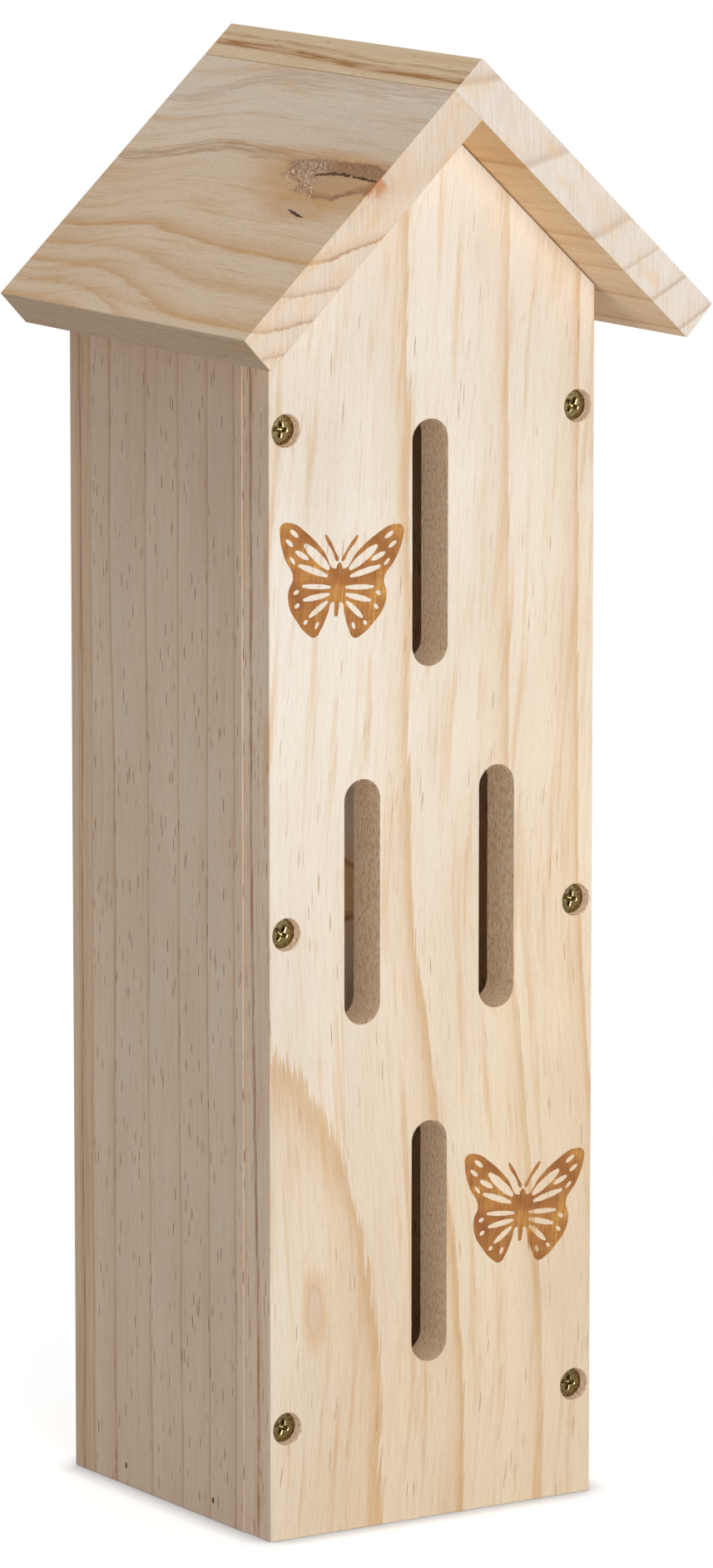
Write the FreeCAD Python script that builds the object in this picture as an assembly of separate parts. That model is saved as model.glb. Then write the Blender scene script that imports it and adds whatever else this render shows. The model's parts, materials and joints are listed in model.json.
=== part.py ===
# Butterfly house of planed pine boards: a tall narrow box with entry slots routed in a screwed-on front,
# under a pitched roof whose right board laps over the end of the left board at the ridge.
# Millimetres. X runs to the right, Y to the back and Z up, from the middle of the footprint on the ground.
import FreeCAD
import Part
import math
import os

# Box
house_width = 100.8        # across the outer faces of the sides
house_depth = 97.5         # front face to back face
eave_height = 321.9        # ground to the roof's underside at the outer faces of the sides
front_thickness = 12.5
front_inset = 0.4          # the sides stand proud of the front's edges by this
back_thickness = 10.5
side_thickness = 11.0
floor_thickness = 10.5
arris = 0.2                # the small bevel that eases every board's edges

# Roof
roof_pitch = 43.2          # degrees from level
roof_thickness = 11.4
roof_slope = 98.0          # ridge to eave on the outer face
front_overhang = 22.5      # the roof's front end stands this far ahead of the front face
front_gap = 0.3            # between the front's gable edges and the roof, so that the front comes off

# Entry slots, with one above, a pair in the middle and one below
slot_width = 11.0
slot_length = 64.5         # end to end, with half-round ends
slot_pair_spacing = 41.6   # between the centre lines of the middle pair
slot_shift = -1.0          # the whole pattern stands a little to the left
lower_slot_height = 74.2   # ground to the lowest slot's middle
upper_slot_drop = 63.5     # eave height down to the highest slot's middle

# Countersunk screws that hold the front
screw_head_diameter = 8.0
screw_head_rim = 0.5       # straight edge of the head above its cone
screw_diameter = 4.0
screw_length = 35.0        # top of the head to the point
screw_point = 4.0          # length of the tapered point
screw_recess = 2.8         # the head's depth below the front face
screw_bore_diameter = 8.8  # counterbore that the head sits in
screw_seat_gap = 0.1
screw_hole_gap = 0.3       # between the shank and its hole, all round
lower_screw_height = 29.6
upper_screw_drop = 31.3    # eave height down to the top pair of screws

# Headless nails of flat wire, driven a little below the wood
nail_width = 1.35
nail_thickness = 1.1
nail_point = 2.0           # length of the chisel point
nail_set = 0.4             # the top's depth below the wood
nail_hole_gap = 0.1        # between a nail and its hole, all round
floor_nail_length = 25.0
floor_nail_inset = 15.4    # from the floor's front and back edges
back_nail_length = 30.0
ridge_nail_length = 35.0
ridge_nail_inset = 20.0    # from the roof's front and back ends

# Keyhole in the back for hanging on a screw head
keyhole_entry_diameter = 10.0
keyhole_slot_width = 5.0
keyhole_rise = 12.0        # entry's centre up to the centre of the slot's round end
keyhole_drop = 26.0        # eave height down to the entry's centre

# Places worked out from the driving sizes
half_width = house_width / 2
back_face = (house_depth + front_overhang) / 2
front_face = back_face - house_depth
roof_front = front_face - front_overhang
front_inside = front_face + front_thickness
back_inside = back_face - back_thickness
chamber_depth = back_inside - front_inside
side_inside = half_width - side_thickness
pitch = math.radians(roof_pitch)
rise = math.tan(pitch)
apex_height = eave_height + half_width * rise
ridge_height = apex_height + roof_thickness / math.cos(pitch)

BACKWARD = FreeCAD.Vector(0, 1, 0)
UPWARD = FreeCAD.Vector(0, 0, 1)


def prism(outline, start, depth):
    """Extrude an outline of (x, z) corners towards the back, from y = start."""
    corners = [FreeCAD.Vector(x, start, z) for x, z in outline]
    face = Part.Face(Part.makePolygon(corners + corners[:1]))
    return face.extrude(BACKWARD * depth)


def board(outline, start, depth):
    """A planed board: a prism with every edge eased."""
    blank = prism(outline, start, depth)
    return blank.makeChamfer(arris, blank.Edges)


def turned(profile):
    """Revolve a profile of (radius, distance) corners about the Z axis."""
    corners = [FreeCAD.Vector(radius, 0, distance) for radius, distance in profile]
    face = Part.Face(Part.makePolygon(corners + corners[:1]))
    return face.revolve(FreeCAD.Vector(), UPWARD, 360)


def aim(shape, point, direction):
    """Place a shape made along +Z so that it starts at the point and runs along the direction."""
    placed = shape.copy()
    placed.Placement = FreeCAD.Placement(point, FreeCAD.Rotation(UPWARD, direction))
    return placed


def rounded_slot(x, bottom, top, width, start, depth):
    """An upright slot with half-round ends, whose end centres are at bottom and top."""
    radius = width / 2
    low_left = FreeCAD.Vector(x - radius, start, bottom)
    low_right = FreeCAD.Vector(x + radius, start, bottom)
    high_left = FreeCAD.Vector(x - radius, start, top)
    high_right = FreeCAD.Vector(x + radius, start, top)
    low_end = Part.Arc(low_left, FreeCAD.Vector(x, start, bottom - radius), low_right)
    high_end = Part.Arc(high_right, FreeCAD.Vector(x, start, top + radius), high_left)
    right_wall = Part.LineSegment(low_right, high_right)
    left_wall = Part.LineSegment(high_left, low_left)
    edges = [curve.toShape() for curve in (low_end, right_wall, high_end, left_wall)]
    return Part.Face(Part.Wire(edges)).extrude(BACKWARD * depth)


def screw():
    """A countersunk screw along +Z, from the top of its head to its point."""
    head_radius = screw_head_diameter / 2
    radius = screw_diameter / 2
    cone_end = screw_head_rim + head_radius - radius
    return turned([
        (0, 0),
        (head_radius, 0),
        (head_radius, screw_head_rim),
        (radius, cone_end),
        (radius, screw_length - screw_point),
        (0, screw_length),
    ])


def screw_seat():
    """The counterbore, conical seat and shank hole that a screw needs, in the screw's own place."""
    bore_radius = screw_bore_diameter / 2
    head_radius = screw_head_diameter / 2
    hole_radius = screw_diameter / 2 + screw_hole_gap
    ring = screw_head_rim + screw_seat_gap
    end = screw_length + screw_hole_gap
    return turned([
        (0, -screw_recess),
        (bore_radius, -screw_recess),
        (bore_radius, ring),
        (head_radius, ring),
        (hole_radius, ring + head_radius - hole_radius),
        (hole_radius, end),
        (0, end),
    ])


def nail(length):
    """A flat wire nail along +Z, from its square top to its chisel point."""
    half = nail_width / 2
    shoulder = length - nail_point
    outline = [(-half, 0), (half, 0), (half, shoulder), (0, length), (-half, shoulder)]
    return prism(outline, -nail_thickness / 2, nail_thickness)


def nail_hole(length):
    """The hole that a nail makes, from clear of the wood to just past its point."""
    half = nail_width / 2 + nail_hole_gap
    start = -nail_set - nail_width
    end = length + nail_hole_gap
    thickness = nail_thickness + 2 * nail_hole_gap
    return prism([(-half, start), (half, start), (half, end), (-half, end)], -thickness / 2, thickness)


def place_screws():
    """Every front screw's point and direction by name, in line with the middle of the side boards."""
    low = lower_screw_height
    high = eave_height - upper_screw_drop
    heights = {"lower": low, "middle": (low + high) / 2, "upper": high}
    middle_of_side = half_width - side_thickness / 2
    places = {}
    for row, height in heights.items():
        for side, x in (("left", -middle_of_side), ("right", middle_of_side)):
            point = FreeCAD.Vector(x, front_face + screw_recess, height)
            places[f"screw_{row}_{side}"] = (point, BACKWARD)
    return places


def place_floor_nails():
    """Two nails through each side into the middle of the floor's edge."""
    places = {}
    for side, sign in (("left", -1), ("right", 1)):
        x = sign * (half_width - nail_set)
        for end, y in (("front", front_inside + floor_nail_inset), ("back", back_inside - floor_nail_inset)):
            point = FreeCAD.Vector(x, y, floor_thickness / 2)
            places[f"floor_nail_{side}_{end}"] = (point, FreeCAD.Vector(-sign, 0, 0))
    return places


def place_back_nails():
    """Nails through the back into the sides' rear edges, level with the front screws."""
    places = {}
    for name, (point, direction) in place_screws().items():
        start = FreeCAD.Vector(point.x, back_face - nail_set, point.z)
        places[name.replace("screw", "back_nail")] = (start, direction * -1)
    return places


def place_ridge_nails():
    """Nails through the right roof board's top end, down the middle of the left board's thickness."""
    down_left = FreeCAD.Vector(-math.cos(pitch), 0, -math.sin(pitch))
    middle_line = roof_thickness / 2 / math.cos(pitch)
    x = middle_line / (2 * rise)
    height = ridge_height - x * rise
    first = roof_front + ridge_nail_inset
    last = back_face - ridge_nail_inset
    places = {}
    for end, y in (("front", first), ("middle", (first + last) / 2), ("back", last)):
        surface = FreeCAD.Vector(x, y, height)
        places[f"ridge_nail_{end}"] = (surface + down_left * nail_set, down_left)
    return places


def cut_all(shape, tools):
    """Cut every tool out of a board."""
    for tool in tools:
        shape = shape.cut(tool)
    return shape


def gable_outline(half, drop):
    """The five-sided outline of a gable board of that half width, lowered under the roof by drop."""
    peak = apex_height - drop
    shoulder = peak - half * rise
    return [(-half, 0), (half, 0), (half, shoulder), (0, peak), (-half, shoulder)]


def entry_slots():
    """The four routed slots, run past both faces of the front."""
    low = lower_slot_height
    high = eave_height - upper_slot_drop
    middle = (low + high) / 2
    half_pair = slot_pair_spacing / 2
    straight = (slot_length - slot_width) / 2
    start = front_face - front_thickness
    depth = 3 * front_thickness
    centres = [(0, low), (-half_pair, middle), (half_pair, middle), (0, high)]
    return [rounded_slot(x + slot_shift, z - straight, z + straight, slot_width, start, depth)
            for x, z in centres]


def front_panel(screw_seats):
    drop = front_gap / math.cos(pitch)
    panel = board(gable_outline(half_width - front_inset, drop), front_face, front_thickness)
    return cut_all(panel, entry_slots() + screw_seats)


def keyhole():
    """A round entry with a narrower slot above it, run past both faces of the back."""
    entry_height = eave_height - keyhole_drop
    start = back_inside - back_thickness
    depth = 3 * back_thickness
    entry = Part.makeCylinder(keyhole_entry_diameter / 2, depth, FreeCAD.Vector(0, start, entry_height), BACKWARD)
    slot = rounded_slot(0, entry_height, entry_height + keyhole_rise, keyhole_slot_width, start, depth)
    return entry.fuse(slot)


def back_panel(nail_holes):
    panel = board(gable_outline(half_width, 0), back_inside, back_thickness)
    return cut_all(panel, [keyhole()] + nail_holes)


def side_board(sign, holes):
    """A side, on the left where sign is -1, with its top bevelled to the roof's pitch."""
    outline = [
        (sign * half_width, 0),
        (sign * side_inside, 0),
        (sign * side_inside, eave_height + side_thickness * rise),
        (sign * half_width, eave_height),
    ]
    return cut_all(board(outline, front_inside, chamber_depth), holes)


def floor_board(nail_holes):
    outline = [
        (-side_inside, 0),
        (side_inside, 0),
        (side_inside, floor_thickness),
        (-side_inside, floor_thickness),
    ]
    return cut_all(board(outline, front_inside, chamber_depth), nail_holes)


def roof_corners():
    """The roof's section: the ridge, the seam on the left slope, and the right eave's two corners."""
    seam_x = (apex_height - ridge_height) / (2 * rise)
    seam = (seam_x, ridge_height + seam_x * rise)
    eave_outer_x = roof_slope * math.cos(pitch)
    eave_outer_z = ridge_height - roof_slope * math.sin(pitch)
    eave_inner_x = eave_outer_x - roof_thickness * math.sin(pitch)
    eave_inner_z = eave_outer_z - roof_thickness * math.cos(pitch)
    return (0, ridge_height), seam, (eave_outer_x, eave_outer_z), (eave_inner_x, eave_inner_z)


def right_roof(nail_holes):
    """The board that runs up to the ridge, with its top end cut flush with the left slope."""
    ridge, seam, eave_outer, eave_inner = roof_corners()
    roof = board([ridge, eave_outer, eave_inner, seam], roof_front, back_face - roof_front)
    return cut_all(roof, nail_holes)


def left_roof(nail_holes):
    """The board that butts against the right board's underside, just below the ridge."""
    ridge, seam, eave_outer, eave_inner = roof_corners()
    left_eave_outer = (-eave_outer[0], eave_outer[1])
    left_eave_inner = (-eave_inner[0], eave_inner[1])
    apex = (0, apex_height)
    roof = board([seam, apex, left_eave_inner, left_eave_outer], roof_front, back_face - roof_front)
    return cut_all(roof, nail_holes)


def holes_at(tool, places, word=""):
    """Copies of a hole at every place whose name holds the word."""
    return [aim(tool, *place) for name, place in places.items() if word in name]


def build():
    """Every piece by its name."""
    screws = place_screws()
    floor_nails = place_floor_nails()
    back_nails = place_back_nails()
    ridge_nails = place_ridge_nails()
    floor_nail_hole = nail_hole(floor_nail_length)
    back_nail_hole = nail_hole(back_nail_length)
    ridge_holes = holes_at(nail_hole(ridge_nail_length), ridge_nails)
    pieces = {
        "front_panel": front_panel(holes_at(screw_seat(), screws)),
        "back_panel": back_panel(holes_at(back_nail_hole, back_nails)),
        "floor_board": floor_board(holes_at(floor_nail_hole, floor_nails)),
        "left_roof": left_roof(ridge_holes),
        "right_roof": right_roof(ridge_holes),
    }
    for side, sign in (("left", -1), ("right", 1)):
        holes = holes_at(screw_seat(), screws, side)
        holes += holes_at(floor_nail_hole, floor_nails, side)
        holes += holes_at(back_nail_hole, back_nails, side)
        pieces[f"{side}_side"] = side_board(sign, holes)
    fasteners = [
        (screw(), screws),
        (nail(floor_nail_length), floor_nails),
        (nail(back_nail_length), back_nails),
        (nail(ridge_nail_length), ridge_nails),
    ]
    for shape, places in fasteners:
        for name, place in places.items():
            pieces[name] = aim(shape, *place)
    return pieces


os.makedirs("parts", exist_ok=True)
for name, piece in build().items():
    piece.exportStep(f"parts/{name}.step")
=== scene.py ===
# Looks of the butterfly house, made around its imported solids.
# Metres, with X to the right, Y to the back and Z up. Lengths that end in _mm are in millimetres.
import bmesh
import bpy
import json
import math
import random
from dataclasses import dataclass
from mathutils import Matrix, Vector


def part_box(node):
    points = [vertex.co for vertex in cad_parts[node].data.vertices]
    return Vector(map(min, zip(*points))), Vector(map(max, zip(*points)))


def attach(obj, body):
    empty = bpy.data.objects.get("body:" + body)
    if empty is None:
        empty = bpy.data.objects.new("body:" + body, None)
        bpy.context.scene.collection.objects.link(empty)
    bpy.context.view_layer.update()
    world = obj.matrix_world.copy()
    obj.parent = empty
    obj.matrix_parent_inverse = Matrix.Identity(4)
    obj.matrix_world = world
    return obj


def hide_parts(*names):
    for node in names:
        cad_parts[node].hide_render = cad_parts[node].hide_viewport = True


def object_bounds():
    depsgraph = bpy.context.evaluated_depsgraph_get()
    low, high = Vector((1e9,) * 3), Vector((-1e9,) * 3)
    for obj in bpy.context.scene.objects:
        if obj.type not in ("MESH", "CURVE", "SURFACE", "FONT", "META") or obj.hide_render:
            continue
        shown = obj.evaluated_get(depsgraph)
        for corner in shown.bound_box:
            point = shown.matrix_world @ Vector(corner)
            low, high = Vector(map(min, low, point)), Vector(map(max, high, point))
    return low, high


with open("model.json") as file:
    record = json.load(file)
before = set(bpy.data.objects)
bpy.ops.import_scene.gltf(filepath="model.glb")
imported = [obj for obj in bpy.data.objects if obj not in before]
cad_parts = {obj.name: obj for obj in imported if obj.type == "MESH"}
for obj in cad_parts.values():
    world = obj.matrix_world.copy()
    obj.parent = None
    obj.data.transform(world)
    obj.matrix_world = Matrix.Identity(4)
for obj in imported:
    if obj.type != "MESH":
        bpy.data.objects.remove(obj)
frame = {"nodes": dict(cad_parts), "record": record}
cad_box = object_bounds()

MM = 0.001
RIGHT = Vector((1, 0, 0))
BACKWARD = Vector((0, 1, 0))
UPWARD = Vector((0, 0, 1))

# The axes of a board's grain frame, as seen within that frame
ACROSS, OUT, ALONG = RIGHT, BACKWARD, UPWARD


def srgb(red, green, blue):
    """A colour as it looks on screen, from 0 to 255, turned into the light that a shader takes."""
    light = []
    for level in (red, green, blue):
        share = level / 255
        light.append(share / 12.92 if share <= 0.04045 else ((share + 0.055) / 1.055) ** 2.4)
    return (*light, 1.0)


WHITE = srgb(255, 255, 255)

# Colours of new pine
PALE = srgb(246, 231, 211)
GOLD = srgb(226, 186, 136)
STREAK = srgb(218, 168, 112)
BROWN = srgb(170, 122, 80)
FLECK = srgb(128, 80, 42)
END_GRAIN = srgb(229, 211, 191)
END_RING = srgb(178, 136, 98)
RESIN = srgb(194, 130, 80)
GOLD_BROWN = srgb(172, 122, 70)
PINK_BROWN = srgb(188, 150, 122)
RUSTY = srgb(174, 120, 58)
EDGE_TINT = srgb(254, 248, 243)
BLOTCH = srgb(226, 214, 204)
FIBRE_SHADE = srgb(232, 218, 202)
GRIT_DARK = srgb(116, 78, 52)
GRIT_BROWN = srgb(158, 114, 80)
GRIT_PALE = srgb(200, 160, 122)
TORN_DARK = srgb(128, 92, 68)
TORN_BROWN = srgb(196, 150, 112)
TORN_PALE = srgb(238, 216, 196)
FUZZ_DARK = srgb(228, 190, 150)
FUZZ_BROWN = srgb(255, 226, 190)
FUZZ_PALE = srgb(262, 244, 218)


class Nodes:
    """The nodes of a material or a world, with short calls to add them."""

    def __init__(self, owner):
        owner.use_nodes = True
        self.tree = owner.node_tree
        self.tree.nodes.clear()

    def node(self, kind, inputs, output=0, **settings):
        """Add a node, set or link its inputs, and give one of its outputs."""
        made = self.tree.nodes.new("ShaderNode" + kind)
        for setting, value in settings.items():
            setattr(made, setting, value)
        for key, value in inputs.items():
            if isinstance(value, bpy.types.NodeSocket):
                self.tree.links.new(value, made.inputs[key])
            else:
                made.inputs[key].default_value = value
        return made.outputs[output] if made.outputs else None

    def math(self, operation, *terms):
        return self.node("Math", dict(enumerate(terms)), operation=operation)


class Shader(Nodes):
    """A material being made. Its place is the point being shaded, in millimetres."""

    def __init__(self, name):
        self.material = bpy.data.materials.new(name)
        super().__init__(self.material)
        self.place = self.vector("MULTIPLY", self.node("TexCoord", {}, "Object"), (1 / MM, 1 / MM, 1 / MM))

    def times(self, first, *others):
        for other in others:
            first = self.math("MULTIPLY", first, other)
        return first

    def plus(self, first, *others):
        for other in others:
            first = self.math("ADD", first, other)
        return first

    def vector(self, operation, first, second):
        return self.node("VectorMath", {0: first, 1: second}, operation=operation)

    def dot(self, first, second):
        return self.node("VectorMath", {0: first, 1: second}, "Value", operation="DOT_PRODUCT")

    def length(self, first):
        return self.node("VectorMath", {0: first}, "Value", operation="LENGTH")

    def join(self, x, y, z):
        return self.node("CombineXYZ", {0: x, 1: y, 2: z})

    def noise(self, place, cell_mm, detail=2.0, roughness=0.5):
        """Smooth noise around 0.5, in cells of the given size along each axis."""
        scaled = self.vector("DIVIDE", place, cell_mm)
        inputs = {"Vector": scaled, "Scale": 1.0, "Detail": detail, "Roughness": roughness}
        return self.node("TexNoise", inputs)

    def swing(self, place, cell_mm, amount, detail=2.0):
        """Smooth noise around zero."""
        return self.math("MULTIPLY_ADD", self.noise(place, cell_mm, detail), amount, -amount / 2)

    def rise(self, value, low, high, bottom=0.0, top=1.0):
        """A smooth step from the bottom at low to the top at high."""
        inputs = {"Value": value, "From Min": low, "From Max": high, "To Min": bottom, "To Max": top}
        return self.node("MapRange", inputs, interpolation_type="SMOOTHSTEP")

    def levels(self, value, *stops):
        """A grey that follows stops of (position, level)."""
        return self.ramp(value, *[(at, (level, level, level, 1.0)) for at, level in stops])

    def ramp(self, value, *stops):
        """A colour that follows stops of (position, colour)."""
        made = self.tree.nodes.new("ShaderNodeValToRGB")
        steps = made.color_ramp.elements
        while len(steps) < len(stops):
            steps.new(1.0)
        for step, (at, colour) in zip(steps, stops):
            step.position = at
            step.color = colour
        self.tree.links.new(value, made.inputs[0])
        return made.outputs[0]

    def mix(self, share, first, second, blend="MIX"):
        inputs = {0: share, 6: first, 7: second}
        return self.node("Mix", inputs, 2, data_type="RGBA", blend_type=blend)

    def bump(self, height_mm):
        return self.node("Bump", {"Distance": MM, "Height": height_mm})

    def surface(self, **inputs):
        """End the material with a principled surface."""
        named = {key.replace("_", " "): value for key, value in inputs.items()}
        shader = self.node("BsdfPrincipled", named)
        self.node("OutputMaterial", {"Surface": shader})
        return self.material


# How the tone grows from the start of a year's ring to its end, as (share of the ring, tone)
BROAD = ((0.0, 0.0), (0.3, 0.05), (0.7, 0.4), (0.95, 1.0), (0.985, 0.85), (1.0, 0.0))
LATE = ((0.0, 0.0), (0.6, 0.03), (0.85, 0.3), (0.96, 1.0), (0.99, 0.8), (1.0, 0.0))
SOFT = ((0.0, 0.35), (0.12, 0.0), (0.5, 0.1), (0.8, 0.55), (0.95, 1.0), (1.0, 0.35))
THIN = ((0.0, 0.0), (0.7, 0.05), (0.92, 0.2), (0.97, 0.5), (0.99, 0.4), (1.0, 0.0))


@dataclass
class Board:
    """How a board was cut from its tree. Its grain frame has the axes across, out and along, in millimetres.

    Rings are ring_mm wide outside the core radius and inner_mm wide inside it, where only a share of their
    tone shows. The bow gives two places along the grain and how far the rings lie out of line at each, and
    the spread how close the outer ones stand there. The streaks shift with the rings by the flow, and across
    by the lean. Flecks are left out where a slow noise is below fleck_gap. A dark ring has an outer radius, a
    width, a share and a tone. The tint is for faces and edges, the edge tint for edges besides, and the end
    tint for the sawn ends, where the rings show by the end share and waver by the curl. Faces turn warmer
    from one side to the other: warm_way is the direction, warm_mm where that starts and ends, and warm_tone
    what it comes to.
    """
    name: str
    along: Vector
    out: Vector
    pith: tuple
    ring_mm: float
    seed: int
    core_mm: float = 0.0
    core_share: float = 1.0
    inner_mm: float = 6.0
    bend_mm: float = 3.0
    ripple_mm: float = 0.4
    fray_mm: float = 0.3
    bow: tuple = (0, 1, 0, 0)
    spread: tuple = (0, 1, 1, 1)
    flow: float = 1.0
    lean: float = 0.0
    profile: tuple = BROAD
    late_share: float = 1.0
    line_share: float = 0.3
    drift_share: float = 0.3
    streak_share: float = 0.5
    fleck_share: float = 0.6
    fleck_mm: tuple = (1.15, 0.17, 2.2)
    fleck_tone: tuple = FLECK
    fleck_gap: float = 0.42
    speckle_share: float = 0.5
    tint: tuple = WHITE
    edge_tint: tuple = EDGE_TINT
    end_tint: tuple = WHITE
    end_share: float = 1.0
    warm_way: tuple = (0, 0, -1)
    warm_mm: tuple = (0, 1)
    warm_tone: tuple = WHITE
    curl_mm: float = 0.0
    dark_rings: tuple = ()
    routed: bool = False
    knots: tuple = ()


@dataclass
class Knot:
    """A branch stub: its middle and half sizes in the board's grain frame, and how it looks.

    The push is how far it bends the rings round it. The share, rim_share and halo_share say how much shows of
    its heart, its rim and the stain round it. A torn one is a half oval: thin and gritty on the side that
    across points to, and ragged at its far end.
    """
    middle: tuple
    size: tuple
    push: float
    share: float
    heart: tuple
    rim: tuple
    rim_share: float = 1.0
    halo_share: float = 0.5
    torn: bool = False


# How far a board's noise moves for each next seed
SEED_STEP_MM = (31.7, 17.3, 53.9)

# Fine rings between a knot's middle and its edge
KNOT_RINGS = 5.0

# How far from the middle of the front its slots end and its outer edges begin
SLOTS_END_MM = 36
EDGES_BEGIN_MM = 38


class Pine(Shader):
    """Planed pine. Its rings stand round a pith line along the grain, so faces, edges and ends agree."""

    def __init__(self, board):
        super().__init__(board.name)
        self.board = board
        normal = self.node("TexCoord", {}, "Normal")
        across = board.along.cross(board.out)
        self.end = self.rise(self.math("ABSOLUTE", self.dot(normal, board.along)), 0.55, 0.75)
        self.edge = self.rise(self.math("ABSOLUTE", self.dot(normal, across)), 0.5, 0.8)
        self.flat = self.math("ABSOLUTE", self.dot(normal, board.out))
        self.grain = self.join(*[self.dot(self.place, axis) for axis in (across, board.out, board.along)])
        self.reaches = [self.knot_reach(knot) for knot in board.knots]
        seeded = self.vector("ADD", self.grain, tuple(step * board.seed for step in SEED_STEP_MM))
        self.bend = self.ring_bend(seeded)
        leaning = self.times(self.dot(self.place, board.along), board.lean)
        shift = self.join(self.plus(self.times(self.bend, board.flow), leaning), 0.0, 0.0)
        self.fibre_place = self.vector("ADD", seeded, shift)

    def along_grain(self, across_mm, along_mm, detail=2.0, roughness=0.5):
        """Noise in cells that are long along the grain and bend with it."""
        return self.noise(self.fibre_place, (across_mm, across_mm, along_mm), detail, roughness)

    def knot_offset(self, knot):
        return self.vector("DIVIDE", self.vector("SUBTRACT", self.grain, knot.middle), knot.size)

    def knot_reach(self, knot):
        """How far a point is from a knot's middle, where 1 is the knot's edge."""
        ragged = self.swing(self.grain, (3, 3, 8), 0.8, 5.0)
        offset = self.knot_offset(knot)
        if knot.torn:
            thinner = self.rise(self.dot(offset, ACROSS), -0.05, 0.05, 1.0, 2.0)
            offset = self.vector("MULTIPLY", offset, self.join(thinner, 1.0, 1.0))
        return self.plus(self.length(offset), ragged)

    def ring_bend(self, seeded):
        """How far the rings lie out of line, from slow waves, the bow and the knots."""
        board = self.board
        wave = self.swing(seeded, (60, 60, 110), board.bend_mm)
        ripple = self.swing(seeded, (2.5, 2.5, 30), board.ripple_mm, 3.0)
        bend = self.plus(wave, ripple, self.rise(self.dot(self.place, board.along), *board.bow))
        for knot, reach in zip(board.knots, self.reaches):
            bend = self.plus(bend, self.rise(reach, 0.3, 3.0, knot.push, 0.0))
        return bend

    def grow_rings(self):
        """Where a point lies within its ring, and how dark the ring is there."""
        board = self.board
        from_pith = self.vector("MULTIPLY", self.vector("SUBTRACT", self.grain, (*board.pith, 0)), (1, 1, 0))
        fray = self.swing(self.fibre_place, (0.6, 0.6, 16), board.fray_mm, 3.0)
        curl = self.times(self.swing(self.fibre_place, (16, 9, 200), board.curl_mm, 1.0), self.end)
        self.radius = self.plus(self.length(from_pith), self.bend, fray, curl)
        past = self.math("SUBTRACT", self.radius, board.core_mm)
        closeness = self.rise(self.dot(self.place, board.along), *board.spread)
        outer = self.times(self.math("MAXIMUM", past, 0.0), closeness)
        outer_turns = self.math("DIVIDE", outer, board.ring_mm)
        inner_turns = self.math("DIVIDE", self.math("MINIMUM", past, 0.0), board.inner_mm)
        turns = self.plus(outer_turns, inner_turns)
        self.part = self.math("FRACT", turns)
        ring = self.plus(self.math("FLOOR", turns), board.seed * 7.13)
        vigour = self.node("TexWhiteNoise", {"W": ring}, noise_dimensions="1D")
        plainer = self.rise(self.edge, 0.0, 1.0, 1.0, 0.35)
        fainter = self.rise(past, -0.1, 0.1, board.core_share, 1.0)
        stronger = self.rise(vigour, 0.0, 1.0, 0.6, 1.0)
        self.late = self.times(self.levels(self.part, *board.profile), stronger, fainter, plainer)

    def resin_flecks(self):
        """Short brown dashes along the grain, thick in some places and missing in others."""
        spacing_mm, width_mm, length_mm = self.board.fleck_mm
        cell = (spacing_mm, spacing_mm, 3 * length_mm)
        place = self.vector("DIVIDE", self.fibre_place, cell)
        points = {"Vector": place, "Scale": 1.0}
        point = self.node("TexVoronoi", points, "Position")
        chance = self.node("TexVoronoi", points, "Color")
        spot = (spacing_mm / width_mm, spacing_mm / width_mm, 3.0)
        offset = self.vector("MULTIPLY", self.vector("SUBTRACT", point, place), spot)
        dash = self.rise(self.length(offset), 0.55, 1.0, 1.0, 0.0)
        gap = self.board.fleck_gap
        patches = self.rise(self.along_grain(7, 40), gap, gap + 0.14)
        return self.times(dash, patches, self.rise(chance, 0.4, 0.6))

    def long_grain(self):
        """Colour of faces and edges along the grain."""
        board = self.board
        self.streaks = self.along_grain(0.5, 16, 3.0, 0.6)
        self.fibres = self.along_grain(0.16, 3.5, 2.0, 0.6)
        self.speckle = self.noise(self.place, (0.3, 0.3, 0.3), 1.0)
        self.flecks = self.resin_flecks()
        drift = self.along_grain(3.2, 60, 3.0, 0.6)
        colour = self.mix(self.times(self.late, board.late_share), PALE, GOLD)
        broken = self.rise(self.along_grain(1.0, 14), 0.35, 0.6, 0.35, 1.0)
        edge_line = self.levels(self.part, (0.9, 0.0), (0.965, 1.0), (0.99, 0.8), (1.0, 0.0))
        colour = self.mix(self.times(edge_line, broken, board.line_share), colour, BROWN)
        colour = self.mix(self.rise(drift, 0.5, 0.72, 0.0, board.drift_share), colour, GOLD)
        colour = self.mix(self.rise(self.streaks, 0.52, 0.76, 0.0, board.streak_share), colour, STREAK)
        colour = self.mix(self.times(self.flecks, board.fleck_share), colour, board.fleck_tone)
        for radius_mm, width_mm, share, tone in board.dark_rings:
            colour = self.dark_ring(colour, radius_mm, width_mm, share, tone)
        blotches = self.along_grain(26, 80)
        colour = self.mix(self.rise(blotches, 0.35, 0.7, 0.0, 0.3), colour, BLOTCH, "MULTIPLY")
        warm_shade = self.ramp(self.fibres, (0.25, FIBRE_SHADE), (0.5, WHITE))
        colour = self.mix(0.5, colour, warm_shade, "MULTIPLY")
        grit = self.levels(self.speckle, (0.3, 0.72), (0.5, 1.0), (0.7, 1.0))
        colour = self.mix(board.speckle_share, colour, grit, "MULTIPLY")
        colour = self.mix(self.edge, colour, board.edge_tint, "MULTIPLY")
        warmth = self.rise(self.dot(self.place, board.warm_way), *board.warm_mm)
        on_faces = self.math("SUBTRACT", 1.0, self.edge)
        colour = self.mix(self.times(warmth, on_faces), colour, board.warm_tone, "MULTIPLY")
        return self.mix(1.0, colour, board.tint, "MULTIPLY")

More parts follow.
